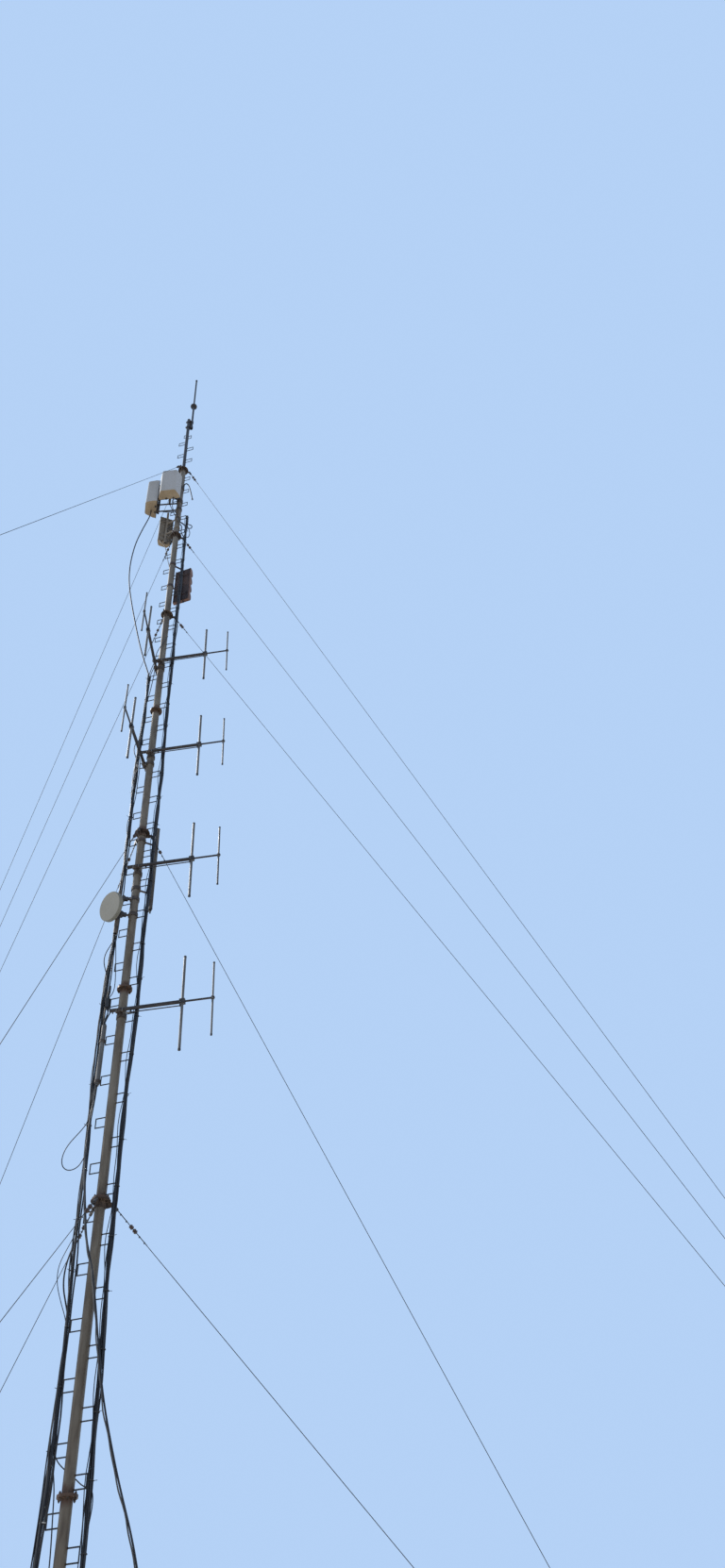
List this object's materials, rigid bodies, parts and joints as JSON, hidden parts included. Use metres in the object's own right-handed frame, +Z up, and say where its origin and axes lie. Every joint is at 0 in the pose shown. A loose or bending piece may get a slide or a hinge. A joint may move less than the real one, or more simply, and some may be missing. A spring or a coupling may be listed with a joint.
{
  "type": "radio mast",
  "caption": "Guyed tubular radio mast with climbing steps, upright dipole antennas, panel antennas, a small dish, a top whip and black feeder cables.",
  "frame": {"origin": "centre of the lower face of the base flange, on the mast's axis", "axes": "+Z up along the mast, +Y level away from the side that the picture shows, +X to the right in the picture"},
  "size_m": [18.9498, 20.7598, 30.64],
  "materials": {
    "weathered_steel": "weathered galvanised steel, stained brown",
    "rusty_steel": "rusted steel",
    "dark_steel": "dark weathered steel",
    "plate_brown": "grey-brown ribbed back plate with its frame",
    "step_steel": "dull grey steel bar",
    "guy_wire": "stranded steel wire",
    "insulator_brown": "dark glazed strain insulator",
    "fitting_steel": "galvanised forged fittings",
    "footing_concrete": "rough concrete",
    "boom_dark": "dark grey paint on the booms",
    "antenna_aluminium": "dull grey aluminium tube",
    "radome_white": "off-white weathered housing",
    "radome_brown": "red-brown weathered back",
    "dish_white": "pale warm grey paint",
    "slim_black": "black housing",
    "box_black": "black box with pale fittings",
    "cable_black": "black cable jacket",
    "whip_dark": "dark grey glass fibre",
    "duct_grey": "grey plastic duct"
  },
  "bodies": {
    "root": {"base_section": "weathered_steel", "mast_section_1": "weathered_steel", "mast_section_2": "weathered_steel", "mast_section_3": "weathered_steel", "mast_section_4": "weathered_steel", "mast_section_5": "weathered_steel", "mast_section_6": "weathered_steel", "mast_section_7": "weathered_steel", "mast_section_8": "weathered_steel", "steps_right": "step_steel", "steps_left": "step_steel", "guy_collar_1": "rusty_steel", "guy_collar_2": "rusty_steel", "guy_collar_3": "rusty_steel", "guy_collar_4": "rusty_steel", "guy_collar_5": "rusty_steel", "guys_right": "guy_wire", "guys_far": "guy_wire", "guys_near": "guy_wire", "guy_insulators": "insulator_brown", "guy_shackles": "fitting_steel", "guy_tensioners": "fitting_steel", "ground_anchors": "fitting_steel", "anchor_footings": "footing_concrete", "top_pole": "dark_steel", "top_extension": "dark_steel", "whip_antenna": "whip_dark", "boom_right_1": "boom_dark", "boom_right_2": "boom_dark", "boom_right_3": "boom_dark", "boom_right_4": "boom_dark", "boom_left_1": "boom_dark", "boom_left_2": "boom_dark", "elements_right": "antenna_aluminium", "elements_left": "antenna_aluminium", "boom_clamps": "rusty_steel", "panel_1_radome": "radome_white", "panel_1_frame": "fitting_steel", "panel_2_radome": "radome_white", "panel_2_frame": "fitting_steel", "panel_3_radome": "radome_white", "panel_3_frame": "plate_brown", "panel_4_radome": "radome_brown", "panel_4_frame": "plate_brown", "dish": "dish_white", "dish_mount": "fitting_steel", "slim_antenna": "slim_black", "slim_brackets": "fitting_steel", "divider": "antenna_aluminium", "divider_clips": "fitting_steel", "splitter_box": "box_black", "junction_box": "box_black", "feeder_ducts": "duct_grey", "left_feeders": "cable_black", "right_feeders": "cable_black", "panel_cable": "cable_black", "crossing_cable": "cable_black", "slack_loop": "cable_black"}
  },
  "joints": []
}
